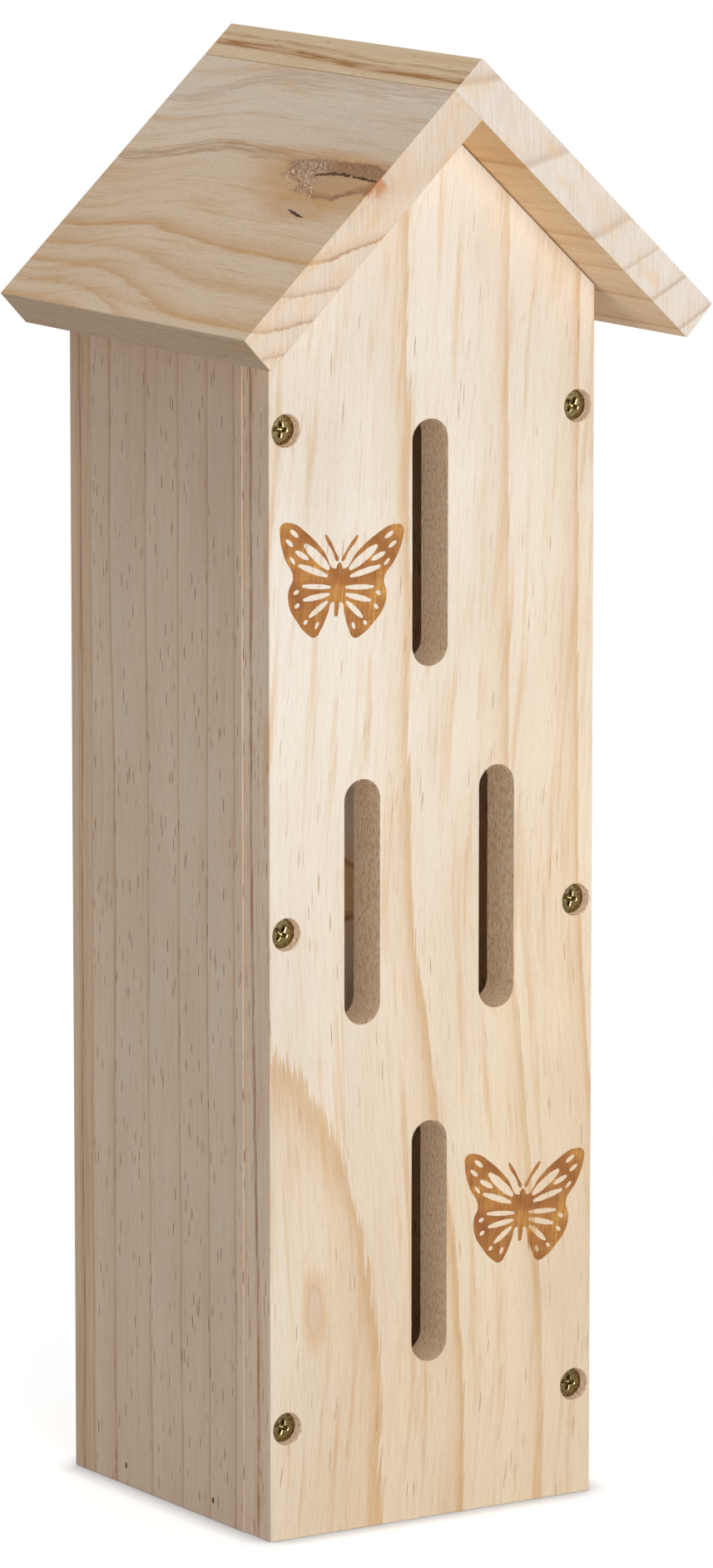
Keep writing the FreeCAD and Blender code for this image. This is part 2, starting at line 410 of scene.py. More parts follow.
    def dark_ring(self, colour, radius_mm, width_mm, share, tone):
        """A ring full of resin: a streaky band that ends sharply on its outer side."""
        inner = self.rise(self.radius, radius_mm - width_mm, radius_mm - 0.5 * width_mm)
        outer = self.rise(self.radius, radius_mm - 0.1 * width_mm, radius_mm + 0.1 * width_mm, 1.0, 0.0)
        streaky = self.rise(self.along_grain(0.7, 18, 3.0, 0.65), 0.4, 0.58, 0.25, 1.0)
        return self.mix(self.times(inner, outer, streaky, share), colour, tone)

    def sawn_end(self):
        """Colour of the ends, cut across the grain."""
        self.saw_marks = self.noise(self.place, (0.22, 0.22, 9.0), 2.0, 0.6)
        pores = self.noise(self.fibre_place, (0.35, 0.35, 40), 1.0)
        late = self.times(self.levels(self.part, (0.4, 0.0), (0.8, 0.5), (0.94, 1.0), (1.0, 0.3)), self.late)
        colour = self.mix(self.times(late, self.board.end_share), END_GRAIN, END_RING)
        colour = self.mix(self.rise(self.saw_marks, 0.4, 0.75, 0.0, 0.35), colour, END_RING)
        patches = self.noise(self.fibre_place, (9, 4, 60))
        colour = self.mix(self.rise(patches, 0.45, 0.75, 0.0, 0.45), colour, GOLD)
        colour = self.mix(self.rise(pores, 0.68, 0.8, 0.0, 0.4), colour, BROWN)
        return self.mix(1.0, colour, self.board.end_tint, "MULTIPLY")

    def knot_tones(self, colour, knot, reach):
        """The stain round a knot, its heart with fine rings, and its darker rim."""
        ring_part = self.math("FRACT", self.times(reach, KNOT_RINGS))
        tree_rings = self.levels(ring_part, (0.0, 1.0), (0.8, 0.86), (1.0, 1.0))
        heart = self.mix(1.0, knot.heart, tree_rings, "MULTIPLY")
        uneven = self.rise(self.along_grain(2.0, 8, 3.0), 0.35, 0.6, 0.55, 1.0)
        rim = self.times(self.levels(reach, (0.68, 0.0), (0.88, 1.0), (1.0, 0.0)), uneven, knot.rim_share)
        on_face = self.rise(self.end, 0.0, 1.0, 1.0, 0.15)
        shown = self.mix(self.rise(reach, 0.9, 2.1, knot.halo_share, 0.0), colour, STREAK)
        shown = self.mix(self.rise(reach, 0.84, 1.0, knot.share, 0.0), shown, heart)
        shown = self.mix(rim, shown, knot.rim)
        if knot.torn:
            shown = self.torn_grit(shown, knot, reach)
        colour = self.mix(on_face, colour, shown)
        return self.resin_end(colour, knot, reach) if knot.torn else colour

    def torn_grit(self, colour, knot, reach):
        """Grit along a torn knot's thin side, and its fibres broken off short at the far end."""
        offset = self.knot_offset(knot)
        grit = self.noise(self.grain, (0.4, 0.4, 0.9), 3.0, 0.7)
        inside = self.rise(reach, 0.7, 1.15, 1.0, 0.0)
        thin_side = self.times(self.rise(self.dot(offset, ACROSS), -0.1, 0.06), inside)
        brown = self.ramp(grit, (0.34, GRIT_DARK), (0.5, GRIT_BROWN), (0.66, GRIT_PALE))
        colour = self.mix(self.times(thin_side, 0.85), colour, brown)
        far_end = self.times(self.rise(self.dot(offset, ALONG), 0.15, 0.45), inside)
        broken = self.ramp(grit, (0.38, TORN_DARK), (0.5, TORN_BROWN), (0.62, TORN_PALE))
        return self.mix(self.times(far_end, 0.85), colour, broken)

    def resin_end(self, colour, knot, reach):
        """Resin where a torn knot's thick side meets the end of the board."""
        offset = self.knot_offset(knot)
        front = self.rise(self.dot(offset, ALONG), -0.74, -0.58, 1.0, 0.0)
        thick_side = self.rise(self.dot(offset, ACROSS), 0.0, 0.14, 1.0, 0.0)
        shallow = self.rise(self.dot(offset, OUT), -0.5, -0.15)
        inside = self.rise(reach, 0.86, 1.06, 0.85, 0.0)
        return self.mix(self.times(front, thick_side, shallow, inside), colour, RESIN)

    def routed_walls(self, colour):
        """Fuzzy walls where slots were cut through the board, away from its edges."""
        aside = self.math("ABSOLUTE", self.dot(self.place, RIGHT))
        away = self.rise(aside, SLOTS_END_MM, EDGES_BEGIN_MM, 1.0, 0.0)
        walls = self.times(self.rise(self.flat, 0.3, 0.6, 1.0, 0.0), away)
        fuzz = self.noise(self.place, (0.5, 0.8, 1.4), 4.0, 0.7)
        tone = self.ramp(fuzz, (0.34, FUZZ_DARK), (0.5, FUZZ_BROWN), (0.66, FUZZ_PALE))
        self.relief = self.plus(self.relief, self.times(walls, fuzz, 0.5))
        return self.mix(walls, colour, tone)

    def finish(self):
        """The finished material, with its relief in millimetres."""
        self.grow_rings()
        colour = self.mix(self.end, self.long_grain(), self.sawn_end())
        for knot, reach in zip(self.board.knots, self.reaches):
            colour = self.knot_tones(colour, knot, reach)
        self.relief = self.plus(
            self.times(self.streaks, 0.03),
            self.times(self.fibres, 0.014),
            self.times(self.speckle, 0.02),
            self.times(self.flecks, -0.03),
            self.times(self.end, self.saw_marks, 0.07),
        )
        if self.board.routed:
            colour = self.routed_walls(colour)
        return self.surface(
            Base_Color=colour,
            Roughness=self.rise(self.streaks, 0.3, 0.7, 0.58, 0.74),
            Specular_IOR_Level=0.3,
            Normal=self.bump(self.relief),
        )


def broad_normal(node):
    """The direction that the larger part of a roof board's upper side faces."""
    areas = {}
    for face in frame["nodes"][node].data.polygons:
        if face.normal.z > 0.1:
            key = tuple(round(part, 3) for part in face.normal)
            areas[key] = areas.get(key, 0) + face.area
    return Vector(max(areas, key=areas.get)).normalized()


def dress(node, material):
    """Give a CAD node one material."""
    mesh_slots = frame["nodes"][node].data.materials
    mesh_slots.clear()
    mesh_slots.append(material)


def dress_front():
    """The front board, cut far from the pith, so that one ring makes a wide arch low on its left."""
    face_mm = -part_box("front_panel")[0].y / MM
    pin_knot = Knot(
        middle=(-36.5, face_mm, 60), size=(2.4, 8, 7), push=0.1, share=0.3,
        heart=srgb(224, 206, 192), rim=srgb(210, 182, 154))
    # Its faces turn warmer and a little darker towards the lower right: painted shade, where the light falls
    # off that way
    dress("front_panel", Pine(Board(
        "pine_front_looks", along=UPWARD, out=-BACKWARD, pith=(-50, face_mm - 293), ring_mm=6.0, seed=1,
        core_mm=296.1, inner_mm=4.0, bend_mm=0.5, ripple_mm=0.3, fray_mm=0.6, bow=(25, 190, -2.97, 0),
        flow=5.0, lean=-0.07, profile=LATE, late_share=0.85, line_share=0.1, drift_share=0.55,
        streak_share=0.25, speckle_share=0.4, fleck_share=0.85, fleck_mm=(0.65, 0.21, 4.2),
        fleck_tone=srgb(172, 120, 66), fleck_gap=0.4, tint=srgb(246, 251, 258), edge_tint=srgb(266, 253, 241),
        warm_way=(2 * RIGHT - UPWARD).normalized(), warm_mm=(-150, -5), warm_tone=srgb(257, 247, 231),
        dark_rings=((284.8, 1.7, 0.8, BROWN),), routed=True, knots=(pin_knot,))).finish())


def dress_back():
    """The back board, with the knot that shows through the middle left slot."""
    inside_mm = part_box("back_panel")[0].y / MM
    amber_knot = Knot(
        middle=(-30, inside_mm, 150), size=(7, 20, 9), push=3.0, share=0.7,
        heart=srgb(232, 184, 128), rim=srgb(170, 112, 66))
    dress("back_panel", Pine(Board(
        "pine_back_looks", along=UPWARD, out=BACKWARD, pith=(-12, -60), ring_mm=5.5, seed=2, drift_share=0.4,
        tint=srgb(252, 244, 236), edge_tint=srgb(242, 236, 230),
        dark_rings=((131.0, 1.2, 0.6, BROWN),), knots=(amber_knot,))).finish())


def dress_side(name, out, pith, seed):
    """A side board, cut across the rings, so that they stand as thin straight lines."""
    dress(name + "_side", Pine(Board(
        f"pine_{name}_looks", along=UPWARD, out=out, pith=pith, ring_mm=6.5, seed=seed,
        profile=THIN, bend_mm=2.0, flow=1.8, streak_share=0.35, drift_share=0.2, speckle_share=0.8,
        fleck_share=0.75, fleck_mm=(1.1, 0.24, 2.4), fleck_tone=srgb(146, 90, 44), fleck_gap=0.26,
        tint=srgb(250, 242, 236), edge_tint=srgb(220, 214, 206))).finish())


def dress_floor_board():
    """The floor board, with its grain from front to back."""
    dress("floor_board", Pine(Board(
        "pine_floor_looks", along=BACKWARD, out=-UPWARD, pith=(20, -90), ring_mm=5.5, seed=5)).finish())


def roof_ridge(node):
    """A roof board's outward direction, its down-slope direction, and the ridge point of its outer face."""
    out = broad_normal(node)
    across = BACKWARD.cross(out)
    down = across if across.z < 0 else -across
    level = max(out.dot(corner.co) for corner in frame["nodes"][node].data.vertices)
    return out, down, Vector((0, 0, level / out.z))


def roof_place(node, slope_mm, height_mm):
    """Grain coordinates of a point that far down the slope from the ridge and above the outer face."""
    out, down, ridge = roof_ridge(node)
    place = ridge / MM + down * slope_mm + out * height_mm
    return (BACKWARD.cross(out).dot(place), out.dot(place))


# The left roof's knot: its middle, down the slope from the ridge and towards the back, and its half sizes
KNOT_SLOPE_MM = 42.6
KNOT_ALONG_MM = -42
KNOT_HALF_WIDTH_MM = 9
KNOT_HALF_LENGTH_MM = 24

# Its torn end: how far down the slope that starts, and where it lies along the ridge
TORN_SLOPE_MM = 44.0
TORN_ALONG_MM = (-37, -19)


def dress_left_roof():
    """The left roof board, with a long knot that its front end cuts through and a pale scar below it."""
    out, down, ridge = roof_ridge("left_roof")
    ridge_mm = down.dot(ridge) / MM
    long_knot = Knot(
        middle=(*roof_place("left_roof", KNOT_SLOPE_MM, 0), KNOT_ALONG_MM),
        size=(KNOT_HALF_WIDTH_MM, KNOT_HALF_WIDTH_MM, KNOT_HALF_LENGTH_MM), push=-0.3, share=0.45,
        heart=srgb(206, 164, 120), rim=srgb(150, 98, 66), halo_share=0.75, torn=True)
    scar = Knot(
        middle=(*roof_place("left_roof", 55, 0), -36), size=(3, 6, 9), push=0.0, share=0.12,
        heart=srgb(244, 222, 206), rim=srgb(226, 192, 166), rim_share=0.25)
    # The dark edge tint paints shade on the board's edges, mostly on the eave band, which faces down and to
    # the left
    dress("left_roof", Pine(Board(
        "pine_left_roof_looks", along=BACKWARD, out=out, pith=roof_place("left_roof", -8.5, 112), ring_mm=4.0,
        seed=6, core_mm=131, core_share=0.2, inner_mm=60, bend_mm=0.8, ripple_mm=0.6, fray_mm=2.0,
        curl_mm=3.0, bow=(14, 58, 0, -3.4), spread=(-30, 60, 0.55, 1.0), flow=-2.2,
        profile=SOFT, line_share=0.0, drift_share=0.5, streak_share=0.4, speckle_share=0.8,
        tint=srgb(265, 264, 264), edge_tint=srgb(207, 196, 182),
        warm_way=down, warm_mm=(ridge_mm + 20, ridge_mm + 62), warm_tone=srgb(247, 238, 226),
        dark_rings=((122.7, 2.4, 0.55, GOLD_BROWN), (114.6, 1.6, 0.35, PINK_BROWN)),
        knots=(long_knot, scar))).finish())


def dress_right_roof():
    """The right roof board, with resin streaks along the ridge, and painted warm bounce light on its
    underside.
    """
    out, down, ridge = roof_ridge("right_roof")

    # Painted warm bounce light: warmer deeper into the board, towards its underside, and a little less so
    # down the slope
    bounce_way = -out - 0.12 * down
    ridge_mm = bounce_way.dot(ridge) / MM
    # The golden tint on its faces and edges is painted warm bounce light as well
    dress("right_roof", Pine(Board(
        "pine_right_roof_looks", along=BACKWARD, out=out, pith=roof_place("right_roof", -39, 37),
        ring_mm=11.0, seed=7, core_mm=109.4, inner_mm=24.5, bend_mm=1.5, fray_mm=0.8, bow=(-20, 30, 0, 0.9),
        flow=1.3, profile=LATE, late_share=0.7, line_share=0.15, drift_share=0.35, streak_share=0.35,
        tint=srgb(255, 244, 226), edge_tint=srgb(257, 256, 252), end_tint=srgb(257, 265, 276), end_share=0.65,
        warm_way=bounce_way, warm_mm=(ridge_mm + 2, ridge_mm + 9.5), warm_tone=srgb(255, 242, 216),
        dark_rings=((59.8, 1.8, 0.9, RUSTY), (57.6, 1.1, 0.5, RUSTY)))).finish())


def zinc_steel():
    """Yellow zinc plating: olive gold, mottled and a little rough, and darker than the metal is, which paints
    in the dark surroundings it mirrors.
    """
    s = Shader("yellow_zinc_looks")
    mottle = s.noise(s.place, (0.5, 0.5, 0.5), 3.0, 0.7)
    speckle = s.noise(s.place, (0.16, 0.16, 0.16), 2.0)
    stain = s.noise(s.place, (1.8, 1.8, 1.8))
    # Darker stops than bare zinc: besides the plating's own mottle, they are painted reflection of dark
    # surroundings
    colour = s.ramp(mottle, (0.3, srgb(92, 80, 54)), (0.5, srgb(136, 121, 83)), (0.7, srgb(210, 190, 136)))
    colour = s.mix(s.rise(stain, 0.45, 0.7, 0.0, 0.4), colour, srgb(164, 144, 98))
    colour = s.mix(s.rise(speckle, 0.52, 0.7, 0.0, 0.7), colour, srgb(56, 48, 30))
    relief = s.math("MULTIPLY_ADD", speckle, 0.02, s.times(mottle, 0.03))
    return s.surface(
        Base_Color=colour,
        Metallic=1.0,
        Roughness=s.rise(mottle, 0.3, 0.7, 0.16, 0.3),
        Normal=s.bump(relief),
    )


def dull_steel():
    """Bare wire nails, gone dark."""
    s = Shader("nail_looks")
    mottle = s.noise(s.place, (0.4, 0.4, 0.4), 3.0, 0.7)
    colour = s.ramp(mottle, (0.3, srgb(34, 31, 29)), (0.7, srgb(92, 86, 80)))
    return s.surface(
        Base_Color=colour,
        Metallic=0.8,
        Roughness=s.rise(mottle, 0.3, 0.7, 0.4, 0.65),
        Normal=s.bump(s.times(mottle, 0.05)),
    )


def dress_nails():
    """All the nails, in the same dull steel."""
    nails = dull_steel()
    for node in frame["nodes"]:
        if "nail" in node:
            dress(node, nails)


def burnt_wood():
    """Wood scorched by engraving: brown, streaked along the grain, and golden where the burn is light."""
    s = Shader("burnt_mark_looks")
    heat = s.noise(s.place, (9, 9, 10))
    grain = s.noise(s.place, (0.6, 14, 0.6), 3.0, 0.6)
    lines = s.noise(s.place, (20, 0.22, 20), 2.0)
    colour = s.ramp(heat, (0.3, srgb(150, 94, 54)), (0.5, srgb(180, 122, 68)), (0.7, srgb(212, 158, 84)))
    colour = s.mix(s.rise(grain, 0.4, 0.7, 0.0, 0.6), colour, srgb(140, 86, 46))
    colour = s.mix(s.rise(lines, 0.45, 0.7, 0.0, 0.25), colour, srgb(120, 72, 40))
    relief = s.math("MULTIPLY_ADD", grain, 0.05, s.times(lines, 0.03))
    return s.surface(Base_Color=colour, Roughness=0.8, Specular_IOR_Level=0.2, Normal=s.bump(relief))


def torn_wood():
    """Torn or pressed fibres of pine, pale and uneven in tone."""
    s = Shader("torn_fibre_looks")
    tone = s.noise(s.place, (0.5, 0.5, 1.5), 2.0, 0.6)
    colour = s.ramp(tone, (0.3, srgb(196, 158, 122)), (0.5, srgb(232, 206, 178)), (0.7, srgb(248, 230, 210)))
    relief = s.times(tone, 0.05)
    return s.surface(Base_Color=colour, Roughness=0.8, Specular_IOR_Level=0.2, Normal=s.bump(relief))


def bark():
    """Dark bark grown into a knot."""
    s = Shader("bark_looks")
    flakes = s.noise(s.place, (0.35, 0.8, 0.35), 3.0, 0.7)
    colour = s.ramp(flakes, (0.34, srgb(40, 27, 20)), (0.5, srgb(86, 60, 42)), (0.66, srgb(160, 118, 84)))
    return s.surface(
        Base_Color=colour,
        Roughness=s.rise(flakes, 0.3, 0.7, 0.7, 0.95),
        Specular_IOR_Level=0.2,
        Normal=s.bump(s.times(flakes, 0.3)),
    )


def add(piece, body):
    """Put a piece in the scene, on its body."""
    bpy.context.scene.collection.objects.link(piece)
    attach(piece, body)


def mesh_of(bm, name, material):
    """A named mesh from a finished build."""
    bmesh.ops.recalc_face_normals(bm, faces=bm.faces)
    mesh = bpy.data.meshes.new(name)
    bm.to_mesh(mesh)
    bm.free()
    mesh.materials.append(material)
    return mesh


def skin(bm, first, second):
    """Faces between two loops with the same number of corners."""
    count = len(first)
    for step in range(count):
        after = (step + 1) % count
        bm.faces.new((first[step], first[after], second[after], second[step]))


# Screws, with radii for the head, thread, core and the bore that the head lies in
HEAD_RADIUS_MM = 4.0
THREAD_RADIUS_MM = 2.0
CORE_RADIUS_MM = 1.35
BORE_RADIUS_MM = 4.4
SCREW_LENGTH_MM = 35.0
SCREW_POINT_MM = 4.0
THREAD_START_MM = 6.5
THREAD_PITCH_MM = 1.8
THREAD_STEPS = 8
RIDGE_HALF_SHARE = 0.24
SCREW_CORNERS = 48

# Radius and depth down the side of the head and along the neck
HEAD_SIDE_MM = ((3.9, 0.06), (4.0, 0.18), (4.0, 0.5), (2.1, 2.4), (1.9, 2.9), (1.8, THREAD_START_MM))

# How far the round tip of a driver recess's arm stands out
ARM_TIP_MM = 0.18

# The thread's share of its full size, which keeps it inside the plain screw
INSIDE_SHARE = 0.99

# Edges of a screw that turn by more than this stay crisp
CRISP_DEGREES = 18


def ring_of(bm, depth_mm, radius_at):
    """A ring of corners round the local Z axis, at a radius given for each share of a turn."""
    corners = []
    for step in range(SCREW_CORNERS):
        turn = step / SCREW_CORNERS
        radius = radius_at(turn) * MM
        angle = 2 * math.pi * turn
        corners.append(bm.verts.new((radius * math.cos(angle), radius * math.sin(angle), depth_mm * MM)))
    return corners


def cross_outline(bm, depth_mm, reach_mm, half_width_mm, root_mm):
    """Corners of a driver recess with four tapered arms."""
    corners = []
    for arm in range(4):
        angle = arm * math.pi / 2
        forward = Vector((math.cos(angle), math.sin(angle), 0))
        side = Vector((-math.sin(angle), math.cos(angle), 0))
        sink = Vector((0, 0, depth_mm))
        for ahead, aside in (
            (root_mm, -root_mm * 0.72),
            (reach_mm, -half_width_mm),
            (reach_mm + ARM_TIP_MM, -half_width_mm * 0.4),
            (reach_mm + ARM_TIP_MM, half_width_mm * 0.4),
            (reach_mm, half_width_mm),
        ):
            corners.append(bm.verts.new((forward * ahead + side * aside + sink) * MM))
    return corners


def thread_radius(depth_mm, turn):
    """Radius of the threaded shank, where a ridge winds round a thinner core and tapers to the point."""
    taper = min(1.0, (SCREW_LENGTH_MM - depth_mm) / SCREW_POINT_MM)
    grown = min(1.0, (depth_mm - THREAD_START_MM) / THREAD_PITCH_MM)
    phase = (depth_mm / THREAD_PITCH_MM - turn) % 1.0
    ridge = max(0.0, 1.0 - abs(phase - 0.5) / RIDGE_HALF_SHARE) * grown
    return (CORE_RADIUS_MM + (THREAD_RADIUS_MM - CORE_RADIUS_MM) * ridge) * taper * INSIDE_SHARE


def screw_mesh():
    """A countersunk cross-recess screw along +Z, from the top of its head to its point."""
    bm = bmesh.new()
    recess = cross_outline(bm, depth_mm=0.0, reach_mm=2.15, half_width_mm=0.66, root_mm=0.98)
    lip = ring_of(bm, 0.0, lambda turn: HEAD_RADIUS_MM - 0.3)
    rims = [bm.edges.new((loop[i], loop[i - 1])) for loop in (recess, lip) for i in range(len(loop))]
    bmesh.ops.triangle_fill(bm, use_beauty=True, edges=rims)

    # Recess walls and floor
    bevel = cross_outline(bm, depth_mm=0.12, reach_mm=1.92, half_width_mm=0.42, root_mm=0.72)
    floor = cross_outline(bm, depth_mm=1.2, reach_mm=1.2, half_width_mm=0.24, root_mm=0.42)
    skin(bm, recess, bevel)
    skin(bm, bevel, floor)
    deepest = bm.verts.new((0, 0, 1.6 * MM))
    for step in range(len(floor)):
        bm.faces.new((floor[step - 1], floor[step], deepest))

    # Head, neck and thread
    loops = [lip]
    for radius, depth in HEAD_SIDE_MM:
        loops.append(ring_of(bm, depth, lambda turn: radius))
    threaded_mm = SCREW_LENGTH_MM - THREAD_START_MM
    steps = int(threaded_mm / THREAD_PITCH_MM * THREAD_STEPS)
    for step in range(1, steps):
        depth = THREAD_START_MM + threaded_mm * step / steps
        loops.append(ring_of(bm, depth, lambda turn: thread_radius(depth, turn)))
    for first, second in zip(loops, loops[1:]):
        skin(bm, first, second)
    point = bm.verts.new((0, 0, (SCREW_LENGTH_MM - 0.05) * MM))
    for step in range(SCREW_CORNERS):
        bm.faces.new((loops[-1][step - 1], loops[-1][step], point))
    mesh = mesh_of(bm, "cross_screw", zinc_steel())
    mesh.shade_smooth()
    return mesh


def plain_screws():
    """Each plain screw's node, and the middle of the top of its head."""
    for node in sorted(frame["nodes"]):
        if node.startswith("screw_"):
            low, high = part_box(node)
            yield node, Vector(((low.x + high.x) / 2, low.y, (low.z + high.z) / 2))


def add_screws():
    """A detailed screw in place of each plain one, each turned its own way."""
    mesh = screw_mesh()
    turns = random.Random(4)
    for node, head in plain_screws():
        screw = bpy.data.objects.new("cross_" + node, mesh)
        screw.location = head
        screw.rotation_euler = (-math.pi / 2, turns.uniform(0, math.pi / 2), 0)
        screw.modifiers.new("crisp", "EDGE_SPLIT").split_angle = math.radians(CRISP_DEGREES)
        add(screw, "front")
        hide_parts(node)


def add_screw_seats():
    """A cone of pressed wood round each screw head, from the bore's rim down to the head."""
    bm = bmesh.new()
    chance = random.Random(2)
    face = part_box("front_panel")[0].y
    for _, head in plain_screws():
        middle = Vector((head.x, 0, head.z))
        loops = []
        for radius, depth, rough in (
            (BORE_RADIUS_MM + 0.1, face + 0.02 * MM, 0.0),
            (BORE_RADIUS_MM - 0.02, face + 0.02 * MM, 0.03),
            (BORE_RADIUS_MM - 0.12, face + 0.9 * MM, 0.06),
            (HEAD_RADIUS_MM + 0.03, head.y - 0.35 * MM, 0.05),
            (HEAD_RADIUS_MM - 0.12, head.y - 0.03 * MM, 0.06),
            (BORE_RADIUS_MM + 0.1, head.y - 0.02 * MM, 0.0),
        ):
            loop = []
            for step in range(SCREW_CORNERS):
                angle = 2 * math.pi * step / SCREW_CORNERS
                reach = (radius + chance.uniform(-rough, rough)) * MM
                spot = middle + Vector((math.cos(angle) * reach, depth, math.sin(angle) * reach))
                loop.append(bm.verts.new(spot))
            loops.append(loop)
        for first, second in zip(loops, loops[1:] + loops[:1]):
            skin(bm, first, second)
    mesh = mesh_of(bm, "screw_seats", torn_wood())
    mesh.shade_smooth()
    add(bpy.data.objects.new("screw_seats", mesh), "front")


# Where the butterfly marks lie: across and up in millimetres, and their tilt in degrees
MARK_PLACES = {"upper": (-29.1, 250.3, 5), "lower": (28.1, 79.4, 4)}
MARK_RELIEF_MM = 0.03

# A mark's right half, in millimetres from its middle. Each cell is an oval with a start, an end and a width.
WINGS = (
    (0.0, 5.2), (0.7, 4.5), (1.2, 3.6), (5.0, 7.9), (10.6, 12.6), (15.8, 15.2), (18.6, 14.6), (18.7, 11.4),
    (16.8, 6.0), (13.9, 1.1), (15.0, -2.4), (14.4, -6.4), (11.9, -10.0), (8.6, -13.2), (6.0, -14.2),
    (4.2, -12.0), (2.6, -8.2), (1.1, -5.0), (0.7, -6.6), (0.0, -8.8),
)
FEELER = ((0.5, 5.7), (1.7, 8.2), (4.2, 11.8), (4.9, 12.3), (4.9, 11.5), (2.4, 8.0), (0.9, 5.5))
CELLS = (
    ((3.0, 3.4), (11.2, 9.8), 2.4),
    ((3.4, 1.6), (12.6, 4.4), 1.6),
    ((9.6, 5.9), (13.8, 8.0), 1.4),
    ((13.2, 11.6), (15.8, 13.4), 1.2),
    ((14.6, 9.2), (16.9, 10.9), 1.1),
    ((13.6, 4.6), (15.2, 6.4), 0.9),
    ((2.2, -1.2), (11.0, -1.0), 1.3),
    ((2.4, -3.0), (10.4, -4.6), 1.5),
    ((2.8, -4.8), (8.2, -9.0), 1.5),
    ((11.8, -2.2), (13.4, -3.0), 1.1),
    ((11.4, -5.6), (12.8, -6.6), 1.1),
    ((8.6, -9.8), (9.6, -10.8), 1.0),
    ((5.2, -10.2), (6.0, -12.0), 1.0),
)


def mirrored(corners):
    return [(-x, y) for x, y in corners]


def leaf(start, end, width):
    """An oval from start to end."""
    middle = (Vector(start) + Vector(end)) / 2
    reach = Vector(end) - middle
    side = Vector((-reach.y, reach.x)).normalized() * width / 2
    turns = [math.pi * step / 4 for step in range(8)]
    return [middle + reach * math.cos(turn) + side * math.sin(turn) for turn in turns]


def add_outline(curve, corners):
    """A closed smooth line through the corners."""
    line = curve.splines.new("BEZIER")
    line.bezier_points.add(len(corners) - 1)
    for point, (x, y) in zip(line.bezier_points, corners):
        point.co = (x * MM, y * MM, 0)
        point.handle_left_type = "AUTO"
        point.handle_right_type = "AUTO"
    line.use_cyclic_u = True
    line.resolution_u = 6


def mark_mesh():
    """A thin plate in the shape of a butterfly, with open cells in its wings."""
    curve = bpy.data.curves.new("mark_outline", "CURVE")
    curve.dimensions = "2D"
    curve.fill_mode = "BOTH"
    curve.extrude = MARK_RELIEF_MM * MM
    add_outline(curve, list(WINGS) + list(reversed(mirrored(WINGS[1:-1]))))
    for drawn in [FEELER] + [leaf(*cell) for cell in CELLS]:
        add_outline(curve, drawn)
        add_outline(curve, mirrored(drawn))
    holder = bpy.data.objects.new("mark_holder", curve)
    bpy.context.scene.collection.objects.link(holder)
    mesh = bpy.data.meshes.new_from_object(holder)
    bpy.data.objects.remove(holder)
    bpy.data.curves.remove(curve)
    mesh.materials.clear()
    mesh.materials.append(burnt_wood())
    return mesh


def add_marks():
    """Two engraved butterflies on the front."""
    mesh = mark_mesh()
    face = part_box("front_panel")[0].y
    for name, (x, z, tilt) in MARK_PLACES.items():
        mark = bpy.data.objects.new(f"butterfly_mark_{name}", mesh)
        mark.location = (x * MM, face, z * MM)
        mark.rotation_euler = (math.pi / 2, math.radians(tilt), 0)
        add(mark, "front")


# Torn fibres
SLOT_HALF_WIDTH_MM = 5.5
SLOT_HALF_STRAIGHT_MM = 26.75
FIBRES_PER_SLOT = 90
KNOT_FIBRES = 130


def add_sliver(bm, root, tip, width, side):
    """A thin three-sided splinter from root to tip."""
    run = (tip - root).normalized()
    other = run.cross(side).normalized()
    corners = (root + side * width, root - side * width, root + other * width)
    base = [bm.verts.new(corner) for corner in corners]
    point = bm.verts.new(tip)
    bm.faces.new(base)
    for step in range(3):
        bm.faces.new((base[step - 1], base[step], point))


def slot_rim(chance):
    """A place on a slot's rim and the way its fibres point: mostly down from the top, some elsewhere."""
    where = chance.random()
    if where < 0.78:
        top = where < 0.58
        angle = math.radians(chance.uniform(18, 162)) * (1 if top else -1)
        end = SLOT_HALF_STRAIGHT_MM if top else -SLOT_HALF_STRAIGHT_MM
        spot = (SLOT_HALF_WIDTH_MM * math.cos(angle), end + SLOT_HALF_WIDTH_MM * math.sin(angle))
        return spot, (chance.uniform(-0.35, 0.35), -1 if top else 1)
    side = chance.choice((-1, 1))
    spot = (side * SLOT_HALF_WIDTH_MM, chance.uniform(-1, 1) * SLOT_HALF_STRAIGHT_MM)
    return spot, (-side * chance.uniform(0.1, 0.4), chance.choice((-1, 1)))


def add_slot_fibres():
    """Fibres left standing round the rims of the slots."""
    bm = bmesh.new()
    chance = random.Random(11)
    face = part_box("front_panel")[0].y
    for opening in frame["record"]["physics"]["openings"]:
        if not opening["name"].endswith("_slot"):
            continue
        low, high = [Vector(corner) for corner in opening["box_m"]]
        middle = (low + high) / 2
        for _ in range(FIBRES_PER_SLOT):
            (x, z), (lean, fall) = slot_rim(chance)
            depth = face + chance.uniform(0.1, 1.2) * MM
            spot = Vector((middle.x + x * MM, depth, middle.z + z * MM))
            way = Vector((lean, chance.uniform(-0.1, 0.05), fall)).normalized()
            reach = chance.uniform(0.3, 1.3) * MM
            add_sliver(bm, spot - way * 0.25 * MM, spot + way * reach, chance.uniform(0.05, 0.13) * MM, RIGHT)
    add(bpy.data.objects.new("slot_fibres", mesh_of(bm, "slot_fibres", torn_wood())), "front")


def roof_point(slope_mm, along_mm, lift_mm):
    """A point on the left roof board, down the slope from the ridge and along it, lifted off its face."""
    out, down, ridge = roof_ridge("left_roof")
    return ridge + (down * slope_mm + BACKWARD * along_mm + out * lift_mm) * MM


